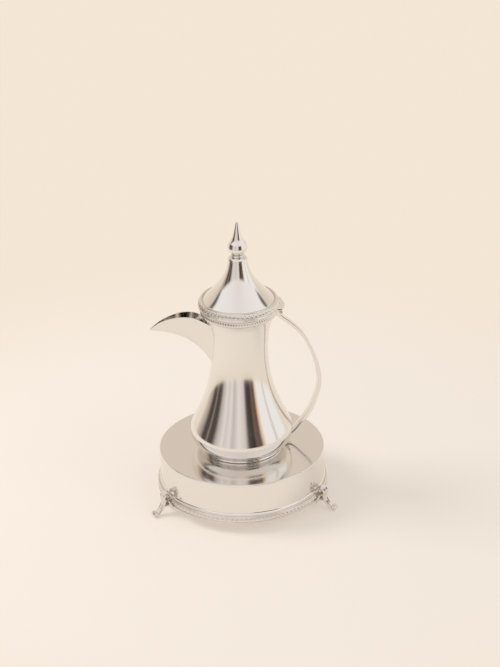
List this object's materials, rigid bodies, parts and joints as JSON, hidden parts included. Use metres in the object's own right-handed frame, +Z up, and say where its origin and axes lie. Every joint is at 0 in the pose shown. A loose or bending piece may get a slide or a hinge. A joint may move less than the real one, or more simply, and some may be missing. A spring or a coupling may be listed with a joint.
{
  "type": "coffee pot with hinged lid on a footed stand",
  "caption": "Waisted silver-plated coffee pot with a crescent spout, a strap handle and a pointed hinged lid, standing on a low round stand with scroll feet.",
  "frame": {"origin": "on the common axis of stand and pot, on the surface under the feet", "axes": "+Z up along the axis of pot and stand, +X through the handle and the hinge, -X through the spout"},
  "size_m": [0.192, 0.195, 0.3027],
  "materials": {
    "polished_silver": "mirror-polished silver plate",
    "chased_silver": "chased and polished silver plate",
    "plated_steel": "plain plated steel"
  },
  "bodies": {
    "stand": {"stand_top": "polished_silver", "stand_drum": "polished_silver", "stand_border": "chased_silver", "stand_base": "polished_silver", "foot_left": "chased_silver", "foot_right": "chased_silver", "foot_back": "chased_silver", "foot_screws": "plated_steel"},
    "pot": {"pot_body": "polished_silver", "pot_neck": "polished_silver", "pot_bottom": "polished_silver", "base_ring": "polished_silver", "mouth_collar": "chased_silver", "spout": "polished_silver", "handle": "polished_silver", "handle_foot": "polished_silver", "hinge_saddle": "polished_silver", "hinge_pin": "plated_steel"},
    "lid": {"lid_shell": "polished_silver", "lid_border": "chased_silver", "lid_flange": "polished_silver", "lid_cap": "polished_silver", "finial_bead": "polished_silver", "finial": "polished_silver", "finial_stud": "plated_steel", "finial_nut": "plated_steel", "hinge_lug": "chased_silver"}
  },
  "joints": [
    {"name": "pot_lift", "type": "slide", "parent": "stand", "child": "pot", "axis": [0, 0, 1], "range_m": [0, 0.08]},
    {"name": "lid_hinge", "type": "hinge", "parent": "pot", "child": "lid", "pos_m": [0.042, 0, 0.2022], "axis": [0, 1, 0], "range_deg": [0, 100]}
  ]
}
